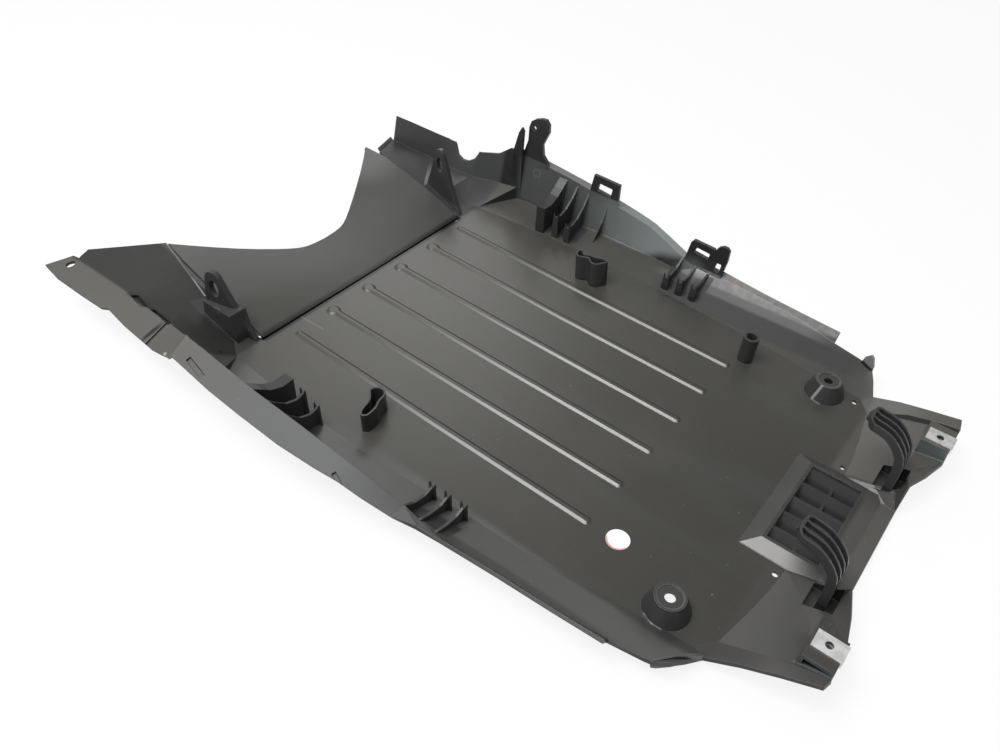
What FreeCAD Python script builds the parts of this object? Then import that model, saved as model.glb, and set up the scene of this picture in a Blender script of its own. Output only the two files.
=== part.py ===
import FreeCAD, Part
import math
import os

os.makedirs("parts", exist_ok=True)

V = FreeCAD.Vector

# Sizes in millimetres. X runs to the rear, Y to the far side and Z up; the floor's top face is at Z = 0.
SHEET = 3.0
PLATE = 2.4
# How deep a moulded-on feature reaches into the sheet that carries it, so that both are one piece.
EMBED = 1.2
# Clearance between the pan and the loose pieces that sit on it.
GAP = 0.15

# The side strip of the tray as rows of four points: floor edge, wall foot, wall top, flange edge.
# Each point is (x, y, z) with y measured outward from the centre line.
TRAY_ROWS = [
    [(-13.0, 176.0, 0.0), (14.0, 216.0, 5.0), (2.0, 222.8, 61.0), (0.0, 242.8, 54.0)],
    [(20.0, 178.0, 0.0), (26.0, 215.0, 7.0), (20.0, 223.0, 60.0), (20.0, 243.8, 52.6)],
    [(50.0, 180.0, 0.0), (50.0, 215.0, 8.0), (50.0, 223.6, 57.2), (50.0, 245.2, 49.2)],
    [(86.0, 181.0, 0.0), (86.0, 216.0, 8.5), (86.0, 224.0, 53.8), (86.0, 245.0, 45.6)],
    [(130.0, 182.0, 0.0), (130.0, 216.5, 9.0), (130.0, 222.4, 48.4), (130.0, 243.8, 41.5)],
    [(166.0, 182.0, 0.0), (166.0, 216.5, 9.0), (166.0, 221.2, 43.8), (166.0, 240.0, 38.2)],
    [(188.0, 181.0, 0.0), (188.0, 215.5, 9.5), (188.0, 220.3, 40.6), (188.0, 236.5, 36.0)],
    [(210.0, 180.0, 0.0), (210.0, 213.0, 10.5), (210.0, 218.0, 34.2), (210.0, 233.0, 30.0)],
    [(236.0, 178.5, 0.0), (236.0, 209.0, 12.0), (236.0, 214.6, 25.4), (236.0, 227.2, 23.6)],
    [(256.0, 177.5, 0.0), (256.0, 206.0, 12.8), (256.0, 215.6, 21.4), (256.0, 222.8, 24.8)],
    [(279.0, 176.0, 0.0), (279.0, 203.9, 12.9), (279.0, 216.2, 20.5), (279.0, 220.5, 26.0)],
    [(327.0, 174.0, 0.0), (327.0, 200.7, 12.7), (327.0, 212.6, 20.4), (327.0, 215.8, 24.6)],
    [(372.0, 169.5, 0.0), (372.0, 197.9, 12.2), (372.0, 209.2, 18.4), (372.0, 212.6, 23.8)],
    [(412.0, 165.0, 0.0), (412.0, 196.2, 11.8), (412.0, 202.4, 14.6), (412.0, 209.6, 23.8)],
]
# Behind the end of the lip the strip carries on as three points only.
TAIL_ROWS = [
    [(412.0, 165.0, 0.0), (412.0, 196.2, 11.8), (412.0, 202.4, 14.6)],
    [(436.0, 163.0, 0.0), (436.0, 190.0, 10.6), (438.0, 198.0, 13.6)],
    [(458.0, 161.0, 0.0), (451.0, 179.0, 8.0), (444.0, 196.4, 13.6)],
    [(466.9, 166.2, 4.1), (460.0, 180.0, 10.5), (453.5, 190.0, 15.0)],
]

# The forward wing of the far side: inner edge, crease, wall top, flange edge.
FAR_WING = [
    [(-13.0, 176.0, 0.0), (12.0, 216.0, 19.0), (-3.0, 222.4, 62.0), (-4.0, 242.0, 54.0)],
    [(-30.0, 165.0, 3.0), (-14.0, 211.0, 18.0), (-17.0, 217.6, 51.5), (-18.0, 240.6, 43.0)],
    [(-56.0, 157.0, 8.0), (-48.0, 204.0, 16.5), (-42.0, 213.6, 46.0), (-40.0, 239.0, 36.0)],
    [(-77.0, 152.0, 13.5), (-76.0, 203.0, 16.0), (-83.0, 214.2, 45.4), (-83.0, 235.6, 33.2)],
    [(-110.0, 147.0, 27.0), (-112.0, 203.0, 17.4), (-112.0, 213.0, 46.4), (-112.0, 233.6, 32.6)],
    [(-146.0, 150.0, 33.0), (-146.0, 203.0, 17.6), (-150.0, 212.4, 47.2), (-150.0, 233.8, 32.4)],
    [(-152.0, 158.0, 28.0), (-174.0, 203.0, 19.0), (-176.0, 211.8, 47.2), (-176.0, 234.0, 32.2)],
]
# The forward wing of the near side stands as one sloping face up to its front edge.
NEAR_WING = [
    [(-13.0, 176.0, 0.0), (12.0, 216.0, 19.0), (-3.0, 222.4, 62.0), (-6.0, 243.0, 49.0)],
    [(-30.0, 165.0, 3.0), (-14.0, 197.0, 17.0), (-17.0, 217.6, 51.5), (-18.0, 240.6, 43.0)],
    [(-56.0, 157.0, 8.0), (-48.0, 186.0, 18.0), (-42.0, 213.6, 46.0), (-40.0, 239.0, 36.0)],
    [(-77.0, 152.0, 13.5), (-78.0, 184.0, 24.0), (-83.0, 214.2, 45.4), (-83.0, 236.4, 36.4)],
    [(-110.0, 147.0, 27.0), (-112.0, 182.0, 33.0), (-112.0, 213.0, 46.4), (-112.6, 233.0, 38.0)],
    [(-117.0, 145.9, 30.0), (-119.0, 181.5, 34.2), (-119.0, 212.5, 46.3), (-119.0, 236.4, 38.0)],
    [(-135.0, 143.0, 37.0), (-140.0, 180.0, 38.5), (-150.0, 210.6, 45.6), (-150.0, 237.2, 38.0)],
    [(-156.0, 138.6, 41.6), (-179.0, 168.0, 42.0), (-186.0, 209.0, 44.4), (-186.0, 238.4, 40.0)],
]
# The small nick between the near wing and the front tab.
TAB_NICK = [(-201.0, -196.6), (-193.2, -209.8), (-201.1, -210.4), (-207.0, -210.4), (-207.0, -196.6)]
# The front end of the near wing, with the corner cut off it.
NEAR_TIP = [
    [(-156.0, 138.6, 41.6), (-179.0, 168.0, 42.0), (-186.0, 209.0, 44.4), (-186.0, 238.4, 40.0)],
    [(-157.0, 138.9, 41.7), (-202.0, 196.0, 42.0), (-200.0, 206.0, 43.0), (-213.0, 234.4, 39.0)],
]

# The rear deck on one side: columns run outward from the middle of the pan.
DECK_ROWS = [
    [(482.0, 60.0, 0.0), (480.0, 84.0, 0.0), (476.0, 112.0, 0.0), (470.0, 145.0, 0.0),
     (469.5, 147.0, 0.0), (466.9, 166.2, 4.1)],
    [(505.0, 60.0, 6.0), (505.0, 84.0, 8.5), (504.0, 112.0, 10.5), (500.0, 145.0, 13.5),
     (500.0, 147.0, 18.0), (490.0, 162.0, 15.5)],
    [(520.0, 60.0, 12.0), (520.0, 84.0, 14.5), (519.0, 112.0, 15.5), (518.0, 143.0, 20.5),
     (518.0, 145.0, 25.0), (514.0, 157.5, 24.6)],
    [(526.8, 62.0, 22.0), (534.0, 82.0, 21.0), (541.4, 108.0, 18.6), (540.6, 141.0, 27.0),
     (540.6, 143.0, 31.0), (538.5, 153.1, 33.0)],
]

# Swage ribs pressed in the floor, evenly spaced about the centre line.
RIB_COUNT = 6
RIB_PITCH = 48.0
RIB_LENGTH = 340.6
RIB_WIDTH = 8.4
RIB_CREST = 3.0
RIB_HEIGHT = 1.6
RIB_NOSE_R = 7.2
RIB_TAIL_R = 4.4
# Each rib from near to far: where it starts, and how far its front end leans to the far side.
RIB_START = [6.0, 3.5, 3.5, 3.5, 3.5, 2.0]
RIB_LEAN = [4.2, 2.4, 3.3, 3.7, 6.3, 6.8]
RIB_BEND = (0.5, 0.3)

# Round drain cones near the rear corners.
CONE_AT = (428.5, 147.0)
CONE_FOOT_R = 18.4
CONE_TOP_R = 12.2
CONE_HEIGHT = 15.6
CONE_BORE_R = 4.2
CONE_DISH_R = 9.6
CONE_DISH = 1.2

# Small through holes in the floor, each (x, y, radius).
FLOOR_HOLES = [(477.4, 68.0, 2.3), (477.4, -68.6, 2.6), (456.0, 153.0, 2.7)]

# Stiffening plates on the side walls as (x, thickness, outline in y and z).
FRONT_GUSSETS = [
    (72.5, 11.0, [(182.0, -EMBED), (182.0, 33.0), (194.0, 32.4), (206.0, 37.4), (214.0, 44.0),
                  (224.6, 52.5), (217.2, 7.0)]),
    (92.0, PLATE, [(184.0, -EMBED), (184.0, 27.5), (193.0, 25.6), (203.0, 29.0), (214.0, 38.5),
                   (224.4, 51.0), (217.2, 7.5)]),
    (108.0, PLATE, [(184.0, -EMBED), (184.0, 20.5), (193.0, 19.0), (203.0, 23.0), (214.0, 34.0),
                    (224.2, 49.5), (217.4, 8.0)]),
]
REAR_GUSSETS = [
    (236.0, PLATE, [(181.0, -EMBED), (184.0, 17.0), (192.0, 15.0), (204.0, 18.0), (214.6, 25.0),
                    (209.6, 10.5)]),
    (252.0, PLATE, [(181.0, -EMBED), (184.0, 18.0), (192.0, 15.6), (204.0, 17.6), (215.4, 22.0),
                    (206.8, 11.0)]),
    (268.0, PLATE, [(181.0, -EMBED), (184.0, 18.5), (192.0, 16.0), (204.0, 17.2), (216.0, 21.0),
                    (205.2, 11.0)]),
]
# The flat cap at the free end of each thin stiffening plate, with two horns.
CAP_WIDTH = 8.0
CAP_THICK = 1.6
HORN = 4.4

# Eyed brackets on the wings: outline of the plate in x and z, and the run of its foot in plan.
BRACKET_PLATE = [(-80.0, 8.0), (-70.0, 34.0), (-61.5, 60.0), (-59.5, 64.5), (-55.5, 67.2), (-51.0, 67.0),
                 (-47.6, 64.5), (-45.6, 60.0), (-33.0, 30.0), (-16.0, 1.0)]
# On the near side the plate is cut short in front and stands behind a block, which is pushed from y to y.
NEAR_BRACKET_FRONT = [(-66.0, 12.0), (-66.0, 38.0)]
BRACKET_BLOCK = [(-72.0, 6.0), (-67.0, 31.0), (-29.0, 32.0), (-24.0, 0.5)]
BRACKET_BLOCK_Y = (146.2, 165.0)
BRACKET_FRONT_Y = 160.0
BRACKET_REAR_Y = 146.0
BRACKET_THICK = 5.0
EYE_AT = (-53.6, 48.5)
EYE_HALF = (5.0, 9.0)

# Upright lug on the far wall with its bore and the narrow web before it, in x and z.
LUG_Y = (222.6, 226.6)
LUG_PLATE = [(14.0, 54.0), (14.0, 60.0), (20.0, 80.0), (20.0, 96.0), (22.5, 103.5), (28.0, 107.5),
             (36.0, 110.5), (42.0, 111.0), (46.4, 106.0), (47.0, 97.0), (40.0, 80.0), (42.0, 68.0),
             (50.0, 60.0), (50.0, 54.0)]
LUG_BORE = (27.3, 96.6, 2.6)
WEB_Y = (216.6, 219.0)
WEB_PLATE = [(4.0, 9.0), (4.0, 62.0), (10.5, 88.0), (14.4, 95.5), (17.6, 92.0), (17.0, 56.0), (18.0, 7.0)]
WEB_TIE = [(5.0, 50.0), (5.0, 58.0), (9.0, 66.0), (13.0, 66.0), (16.0, 58.0), (16.0, 50.0)]

# Rectangular loops that stand on the far flange, outline and window in x and z.
LOOP_A_Y = (221.6, 225.0)
LOOP_A = [(109.0, 42.0), (109.0, 52.0), (112.0, 72.5), (145.0, 71.5), (146.0, 40.0)]
LOOP_A_WINDOW = [(118.0, 55.5), (119.6, 64.5), (136.6, 63.5), (135.6, 53.5)]
LOOP_A_LEG = (133.0, [(198.0, -EMBED), (198.0, 3.0), (203.0, 10.0), (215.0, 25.0), (224.0, 49.0),
                      (217.4, 8.0)])
LOOP_B_Y = (214.4, 217.8)
LOOP_B = [(237.0, 18.0), (241.0, 47.0), (243.5, 51.0), (268.0, 50.0), (268.0, 18.0)]
LOOP_B_WINDOW = [(246.6, 37.8), (248.7, 43.8), (263.8, 42.4), (263.2, 36.0)]
EAR_PLATE = [(266.0, 18.0), (268.0, 48.0), (271.0, 54.0), (275.5, 57.0), (280.5, 57.0), (283.6, 54.0),
             (284.0, 42.0), (281.0, 18.0)]
EAR_WINDOW = [(271.6, 26.0), (273.6, 36.0), (278.6, 36.0), (278.0, 25.0)]

# The wide notch in the wall of the far wing, in x and z.
NOTCH = [(-82.0, 70.0), (-80.7, 46.5), (-77.5, 39.8), (-72.6, 32.3), (-64.6, 29.3), (-56.7, 30.2),
         (-47.5, 36.3), (-43.2, 44.4), (-41.0, 70.0)]
# The flange of the far wing is missing over this stretch of x, outside this y.
FLANGE_GAP_X = (-106.0, -40.0)
FLANGE_GAP_Y = 215.6
# Lip along the front edge of the far wing: its two ends, and how far it runs forward and up.
WING_LIP = [(-152.6, 158.0, 27.0), (-174.4, 203.0, 18.0)]
WING_LIP_RISE = (-5.0, 0.0, 3.0)

# Hollow kidney-shaped posts on the floor: outline of the rim and height.
POST_WALL = 1.8
FAR_POST = [(147.6, 143.4), (152.6, 138.4), (158.1, 139.7), (162.6, 141.9), (169.6, 137.3), (176.1, 138.4),
            (179.6, 143.9), (182.2, 150.9), (177.3, 152.9), (168.6, 149.9), (161.0, 148.3), (155.4, 146.3),
            (150.2, 150.3)]
FAR_POST_HEIGHT = 28.0
FAR_POST_LEAN = (3.0, -1.0)
NEAR_POST = [(124.9, -138.2), (127.5, -133.4), (132.6, -131.4), (138.1, -133.4), (140.9, -138.8),
             (141.7, -144.4), (144.5, -150.0), (145.9, -156.7), (144.7, -165.1), (141.4, -166.8),
             (137.5, -163.7), (135.3, -157.4), (133.7, -151.0), (129.5, -145.0)]
NEAR_POST_HEIGHT = 20.0
NEAR_POST_LEAN = (0.6, 0.4)
SPLIT_POST_AT = (351.0, 140.0)
SPLIT_POST_R = 7.6
SPLIT_POST_HEIGHT = 28.0
SPLIT_WIDTH = 2.6

# Raised housing of the rear vent and the louvre blades in it.
VENT_FRONT_X = 440.3
VENT_LENGTH = 77.7
VENT_HALF_WIDTH = 62.0
VENT_SLOPE_X = (14.7, 13.7)
VENT_SLOPE_Y = 13.0
VENT_HEIGHT = 7.0
# Width of the rim round the opening, in front, behind and at both sides.
VENT_RIM = (3.0, 4.3, 3.0)
BLADE_COUNT = 5
BLADE_PITCH = 19.0
BLADE_RUN = 13.0
BLADE_THICK = 2.2
BLADE_TOP = 5.4

# Curved guide arms beside the vent: side view of the crest in x and z, from tip to foot.
ARM_CREST = [(478.9, 68.3), (484.6, 65.7), (491.5, 64.8), (498.1, 62.9), (504.7, 58.6), (510.4, 52.5),
             (514.6, 46.2), (516.5, 39.3), (517.8, 28.0), (517.8, -1.5)]
ARM_Y = (58.2, 81.2)
ARM_RIB_COUNT = 4
ARM_RIB_THICK = 1.8
ARM_RIB_DEPTH = 7.0
ARM_BACK = 2.2
ARM_CORNER_R = 6.5

# Sunken pockets round the feet of the arms, and the rim height of the front inner, rear inner, rear outer
# and front outer corner.
POCKET_X = (503.5, 523.5)
POCKET_Y = (60.5, 86.0)
POCKET_RIM = (3.4, 12.0, 15.6, 7.0)

# Raised tables that carry the clip nuts at the rear corners.
TABLE_X = (518.5, 541.0)
TABLE_Y = (110.5, 139.0)
TABLE_TOP = 30.0
TABLE_THICK = 3.0
CLIP_AT = (530.5, 121.5)
CLIP_LENGTH = 21.0
CLIP_WIDTH = 15.4
CLIP_SHEET = 1.2
CLIP_BORE_R = 3.0
CLIP_BARREL_R = 5.0
CLIP_BARREL = 3.4

# Thin fin at the end of each side wall: outline in x and z, and the two ends of its run in plan.
TAIL_FIN = [(443.0, 12.0), (445.0, 22.0), (449.0, 28.0), (451.6, 27.0), (455.0, 19.0), (455.0, 11.0)]
TAIL_FIN_RUN = [(443.0, 196.2), (455.0, 188.8)]
# On the near side a longer plate hangs there: its run in plan, then its outline as (share of the run, z).
NEAR_TAIL_RUN = [(443.4, -196.6), (467.5, -169.0)]
NEAR_TAIL_PLATE = [(0.0, 5.0), (0.12, 2.6), (0.4, 1.2), (0.7, 2.4), (1.0, 4.4), (1.0, 11.0), (0.44, 15.2),
                   (0.0, 13.8)]
NEAR_TAIL_THICK = 1.8

# Hole in the front tab of the near wing.
TAB_HOLE = (-192.0, -219.8, 4.6)
# Grooves along and across the near flange, each as (x0, y0, x1, y1, width), and their depth.
NEAR_GROOVES = [(-104.0, -209.5, -82.0, -213.5, 7.0), (-76.0, -210.0, -46.0, -213.0, 4.6),
                (-46.6, -211.0, -46.6, -248.0, 4.2), (15.0, -236.0, 38.0, -240.0, 4.4),
                (182.0, -233.6, 197.0, -238.6, 3.6)]
GROOVE_DEPTH = 2.0

# The label is a disc of paper on the floor.
LABEL_BEHIND_RIBS = 29.1
LABEL_Y = -119.4
LABEL_R = 9.6
LABEL_THICK = 0.4

# Front deflector: stations along x with the height on the centre line and at the side edge.
DEFLECTOR_STATIONS = [(-15.0, 0.0, 1.0), (-45.0, 5.5, 13.0), (-82.0, 11.5, 23.0), (-110.0, 15.5, 31.0),
                      (-135.0, 19.0, 38.0), (-157.0, 22.0, 40.5)]
DEFLECTOR_EDGE = [(-15.0, 142.6), (-45.0, 143.2), (-82.0, 143.4), (-110.0, 142.4), (-135.0, 141.4),
                  (-157.0, 137.2)]
DEFLECTOR_FRONT = -156.0
NOTCH_DEPTH_X = -82.7
NOTCH_FLAT_Y = 27.0
NOTCH_ROUND = 0.09
DISH_POWER = 1.5
# The skirt under each side edge of the deflector: (x, drop).
DEFLECTOR_SKIRT = [(-22.0, 4.0), (-45.0, 9.0), (-82.0, 15.0), (-110.0, 16.0), (-135.0, 11.0), (-156.0, 3.4)]
SKIRT_THICK = 2.2
TONGUE_X = (-21.0, -4.0)
RISER_HALF = 138.0
TONGUE_OVERREACH = 12.0


def vec(p, side=1.0):
    return V(p[0], p[1] * side, p[2])


def plain(points):
    return Part.Face(Part.makePolygon(points + [points[0]]))


def facet(points):
    """One flat face where the corners lie in a plane, else two triangles."""
    keep = []
    for p in points:
        if not keep or (p - keep[-1]).Length > 1e-6:
            keep.append(p)
    if (keep[0] - keep[-1]).Length < 1e-6:
        keep.pop()
    if len(keep) < 3:
        return []
    if len(keep) == 3:
        return [plain(keep)]
    n = (keep[1] - keep[0]).cross(keep[2] - keep[0])
    n.normalize()
    flat = all(abs((p - keep[0]).dot(n)) < 1e-5 for p in keep[3:])
    if flat:
        return [plain(keep)]
    if (keep[0] - keep[2]).Length <= (keep[1] - keep[3]).Length:
        return [plain([keep[0], keep[1], keep[2]]), plain([keep[0], keep[2], keep[3]])]
    return [plain([keep[0], keep[1], keep[3]]), plain([keep[1], keep[2], keep[3]])]


class Skin:
    """A skin of flat facets with shared corners, thickened downward."""

    def __init__(self):
        self.points = []
        self.faces = []

    def corner(self, p):
        for i, q in enumerate(self.points):
            if (p - q).Length < 1e-4:
                return i
        self.points.append(p)
        return len(self.points) - 1

    def face(self, pts):
        ids = []
        for p in pts:
            i = self.corner(p)
            if not ids or ids[-1] != i:
                ids.append(i)
        if ids[0] == ids[-1]:
            ids.pop()
        if len(ids) >= 3:
            self.faces.append(ids)

    def strip(self, rows, side=1.0):
        for a, b in zip(rows[:-1], rows[1:]):
            for k in range(len(a) - 1):
                quad = [vec(a[k], side), vec(b[k], side), vec(b[k + 1], side), vec(a[k + 1], side)]
                if side < 0:
                    quad.reverse()
                self.face(quad)

    def solid(self, thick, flat_first=True):
        normals = [V(0, 0, 0) for p in self.points]
        units = []
        for ids in self.faces:
            n = V(0, 0, 0)
            c = self.points[ids[0]]
            for a, b in zip(ids[1:-1], ids[2:]):
                n = n + (self.points[a] - c).cross(self.points[b] - c)
            n.normalize()
            units.append(n)
            for i in ids:
                normals[i] = normals[i] + n
        low = []
        for i, p in enumerate(self.points):
            n = V(normals[i])
            n.normalize()
            reach = 1.0
            for ids, u in zip(self.faces, units):
                if i in ids:
                    reach = max(reach, min(1.5, 1.0 / max(0.3, u.dot(n))))
            q = p - n * (thick * reach)
            if flat_first and i in self.faces[0]:
                q = q - units[0] * ((q - p).dot(units[0]) + thick)
            low.append(q)
        shells = []
        edges = {}
        for ids in self.faces:
            shells += facet([self.points[i] for i in ids])
            shells += facet([low[i] for i in reversed(ids)])
            for a, b in zip(ids, ids[1:] + ids[:1]):
                edges[(a, b)] = edges.get((a, b), 0) + 1
        for (a, b) in edges:
            if (b, a) not in edges:
                shells += facet([self.points[b], self.points[a], low[a], low[b]])
        shell = Part.makeShell(shells)
        shell.sewShape()
        body = Part.makeSolid(shell)
        if body.Volume < 0:
            body.reverse()
        return body


def block(points, direction):
    """A flat outline pushed along a direction."""
    return plain(points).extrude(direction)


def box(x0, x1, y0, y1, z0, z1):
    xs, ys, zs = sorted((x0, x1)), sorted((y0, y1)), sorted((z0, z1))
    return Part.makeBox(xs[1] - xs[0], ys[1] - ys[0], zs[1] - zs[0], V(xs[0], ys[0], zs[0]))


def upright(outline, y0, y1):
    """A plate that stands along the pan: outline in x and z, faces at y0 and y1."""
    return block([V(x, y0, z) for x, z in outline], V(0, y1 - y0, 0))


def across(outline, x, thick):
    """A plate that stands across the pan: outline in y and z, centred on x."""
    return block([V(x - thick / 2, y, z) for y, z in outline], V(thick, 0, 0))


def hull(low, high):
    """A closed body between a lower and an upper outline with the same number of corners."""
    faces = [plain(list(low)), plain(list(high))]
    for i in range(len(low)):
        j = (i + 1) % len(low)
        faces += facet([low[i], low[j], high[j], high[i]])
    shell = Part.makeShell(faces)
    shell.sewShape()
    body = Part.makeSolid(shell)
    if body.Volume < 0:
        body.reverse()
    return body


def smooth(points):
    """A closed curve through plan points."""
    curve = Part.BSplineCurve()
    curve.interpolate([V(x, y, 0) for x, y in points], PeriodicFlag=True)
    return curve


def inset(points, depth):
    """Plan points moved inward along the mean normal of their neighbours."""
    area = sum(a[0] * b[1] - b[0] * a[1] for a, b in zip(points, points[1:] + points[:1]))
    turn = 1.0 if area > 0 else -1.0
    moved = []
    for i, (x, y) in enumerate(points):
        ax, ay = points[i - 1]
        bx, by = points[(i + 1) % len(points)]
        length = math.hypot(bx - ax, by - ay)
        moved.append((x - turn * (by - ay) / length * depth, y + turn * (bx - ax) / length * depth))
    return moved


def post(points, height, lean):
    """A hollow leaning post: the outline is its rim, and its foot is moved by the lean."""
    def column(outline, z0, z1):
        """The leaning column between two heights."""
        wires = []
        for z in (z0, z1):
            share = (height - z) / height
            moved = [(x + lean[0] * share, y + lean[1] * share) for x, y in outline]
            wire = Part.Wire(smooth(moved).toShape())
            wire.translate(V(0, 0, z))
            wires.append(wire)
        return Part.makeLoft(wires, True, True)
    return column(points, -EMBED, height).cut(column(inset(points, POST_WALL), POST_WALL, height + 1.0))


def offset_path(path, depth):
    """A side-view path moved to its left by depth, with mitred corners."""
    moved = []
    for i, (x, z) in enumerate(path):
        x0, z0 = path[max(i - 1, 0)]
        x1, z1 = path[min(i + 1, len(path) - 1)]
        length = math.hypot(x1 - x0, z1 - z0)
        moved.append((x + (z1 - z0) / length * depth, z - (x1 - x0) / length * depth))
    return moved


def gusset(x, thick, outline, side):
    """A stiffening plate, with a horned cap at its free end where it is thin."""
    plate = across([(y * side, z) for y, z in outline], x, thick)
    if thick > PLATE:
        return [plate]
    tip_y, tip_z = outline[1]
    foot_z = -EMBED
    half = CAP_WIDTH / 2
    cap = [(x - half, foot_z), (x - half + 1.0, tip_z + HORN), (x - PLATE / 2, tip_z),
           (x + PLATE / 2, tip_z), (x + half - 1.0, tip_z + HORN), (x + half, foot_z)]
    y0 = min(tip_y, outline[0][0] + 1.0)
    return [plate, upright(cap, y0 * side, (y0 + CAP_THICK) * side)]


def bracket(side):
    """One eyed bracket, its lower block and the web that joins both to the wing."""
    x0, x1 = BRACKET_PLATE[0][0], BRACKET_PLATE[-1][0]

    def foot(x):
        return BRACKET_FRONT_Y + (BRACKET_REAR_Y - BRACKET_FRONT_Y) * (x - x0) / (x1 - x0)

    run = V(0, BRACKET_THICK * side, 0)
    outline = BRACKET_PLATE if side > 0 else NEAR_BRACKET_FRONT + BRACKET_PLATE[2:]
    plate = block([V(x, foot(x) * side, z) for x, z in outline], run)
    eye = Part.Ellipse(V(0, 0, 0), max(EYE_HALF), min(EYE_HALF)).toShape()
    tool = Part.Face(Part.Wire(eye)).extrude(V(0, 0, 4 * BRACKET_THICK))
    tool.rotate(V(0, 0, 0), V(0, 0, 1), 90)
    tool.rotate(V(0, 0, 0), V(1, 0, 0), 90)
    tool.translate(V(EYE_AT[0], foot(EYE_AT[0]) * side + 2 * BRACKET_THICK, EYE_AT[1]))
    if side > 0:
        return [plate.cut(tool)]
    y0, y1 = BRACKET_BLOCK_Y
    return [plate.cut(tool), upright(BRACKET_BLOCK, y0 * side, y1 * side)]


def cone(side):
    """A drain cone: hollow below, dished on top and bored through."""
    x, y = CONE_AT[0], CONE_AT[1] * side
    body = Part.makeCone(CONE_FOOT_R, CONE_TOP_R, CONE_HEIGHT, V(x, y, 0))
    body = body.fuse(Part.makeCylinder(CONE_FOOT_R, SHEET, V(x, y, -SHEET)))
    hollow = Part.makeCone(CONE_FOOT_R - SHEET, CONE_TOP_R - SHEET, CONE_HEIGHT, V(x, y, -SHEET))
    dish = Part.makeCylinder(CONE_DISH_R, CONE_DISH, V(x, y, CONE_HEIGHT - CONE_DISH))
    bore = Part.makeCylinder(CONE_BORE_R, CONE_HEIGHT + SHEET, V(x, y, 0))
    return body.cut([hollow, dish, bore])


def rib(y, start, lean, nose_r):
    """One swage rib with round ends, its foot sunk in the floor and its front half leaning aside."""
    share, bend = RIB_BEND
    path = [(start, y + lean), (start + (RIB_LENGTH - start) * share, y + lean * bend), (RIB_LENGTH, y)]
    c = RIB_CREST / 2
    run = (RIB_WIDTH - RIB_CREST) / 2 / RIB_HEIGHT
    w = c + run * (RIB_HEIGHT + EMBED)
    parts = []
    for (xa, ya), (xb, yb) in zip(path, path[1:]):
        low = [V(xa, ya - w, -EMBED), V(xb, yb - w, -EMBED), V(xb, yb + w, -EMBED), V(xa, ya + w, -EMBED)]
        high = [V(xa, ya - c, RIB_HEIGHT), V(xb, yb - c, RIB_HEIGHT), V(xb, yb + c, RIB_HEIGHT),
                V(xa, ya + c, RIB_HEIGHT)]
        parts.append(hull(low, high))
    for (x, z), r in ((path[0], nose_r), (path[-1], RIB_TAIL_R)):
        foot_r, crest_r = r + run * EMBED, r - run * RIB_HEIGHT
        parts.append(Part.makeCone(foot_r, crest_r, RIB_HEIGHT + EMBED, V(x, z, -EMBED)))
    return parts


def arm(side):
    """A curved guide arm: a bent back with ribs along it and a bar across its tip."""
    back = offset_path(ARM_CREST, ARM_RIB_DEPTH - ARM_BACK)
    deep = offset_path(ARM_CREST, ARM_RIB_DEPTH)
    y0, y1 = ARM_Y
    parts = [upright(back + deep[::-1], y0 * side, y1 * side)]
    step = (y1 - y0 - ARM_RIB_THICK) / (ARM_RIB_COUNT - 1)
    for k in range(ARM_RIB_COUNT):
        y = y0 + k * step
        parts.append(upright(ARM_CREST + deep[::-1], y * side, (y + ARM_RIB_THICK) * side))
    tip = [ARM_CREST[0], ARM_CREST[1], deep[1], deep[0]]
    mid = [((a[0] * 2 + b[0]) / 3, (a[1] * 2 + b[1]) / 3) for a, b in ((tip[0], tip[1]), (tip[3], tip[2]))]
    parts.append(upright([tip[0], mid[0], mid[1], tip[3]], y0 * side, y1 * side))
    # The two corners of the tip are rounded, and the rim follows them round.
    x0 = ARM_CREST[0][0]
    rounds = []
    for y, toward in ((y0, 1.0), (y1, -1.0)):
        at = V(x0 + ARM_CORNER_R, (y + ARM_CORNER_R * toward) * side, 20.0)
        corner = box(x0 - 9.0, at.x, (y - 9.0 * toward) * side, at.y, 20.0, 90.0)
        disc = Part.makeCylinder(ARM_CORNER_R, 70.0, at)
        core = Part.makeCylinder(ARM_CORNER_R - ARM_RIB_THICK, 70.0, at)
        rounds.append((corner.cut(disc), disc.cut(core).common(corner)))
    bar = upright(ARM_CREST[:3] + deep[:3][::-1], y0 * side, y1 * side)
    whole = parts[0].fuse(parts[1:] + [bar.common(ring) for _, ring in rounds])
    return [whole.cut([cutter for cutter, _ in rounds])]


def pocket(side):
    """The open box round the foot of an arm, and the room inside it."""
    x0, x1 = POCKET_X[0] - PLATE, POCKET_X[1] + PLATE
    y0, y1 = (POCKET_Y[0] - PLATE) * side, (POCKET_Y[1] + PLATE) * side
    corners = [(x0, y0), (x1, y0), (x1, y1), (x0, y1)]
    rim = [V(x, y, z) for (x, y), z in zip(corners, POCKET_RIM)]
    outer = hull([V(x, y, -SHEET) for x, y in corners], rim)
    room = box(POCKET_X[0], POCKET_X[1], POCKET_Y[0] * side, POCKET_Y[1] * side, 0.0, 60.0)
    return outer, room


def table(side):
    """The raised table under a clip nut: a top, a front wall and two side walls."""
    x0, x1 = TABLE_X
    y0, y1 = TABLE_Y
    solid = box(x0, x1, y0 * side, y1 * side, 14.0, TABLE_TOP)
    room = box(x0 + PLATE, x1 + 1.0, (y0 + PLATE) * side, y1 * side, 0.0, TABLE_TOP - TABLE_THICK)
    bore = Part.makeCylinder(CLIP_BORE_R + 1.0, 20.0, V(CLIP_AT[0], CLIP_AT[1] * side, 20.0))
    return solid.cut(room), bore


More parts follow.
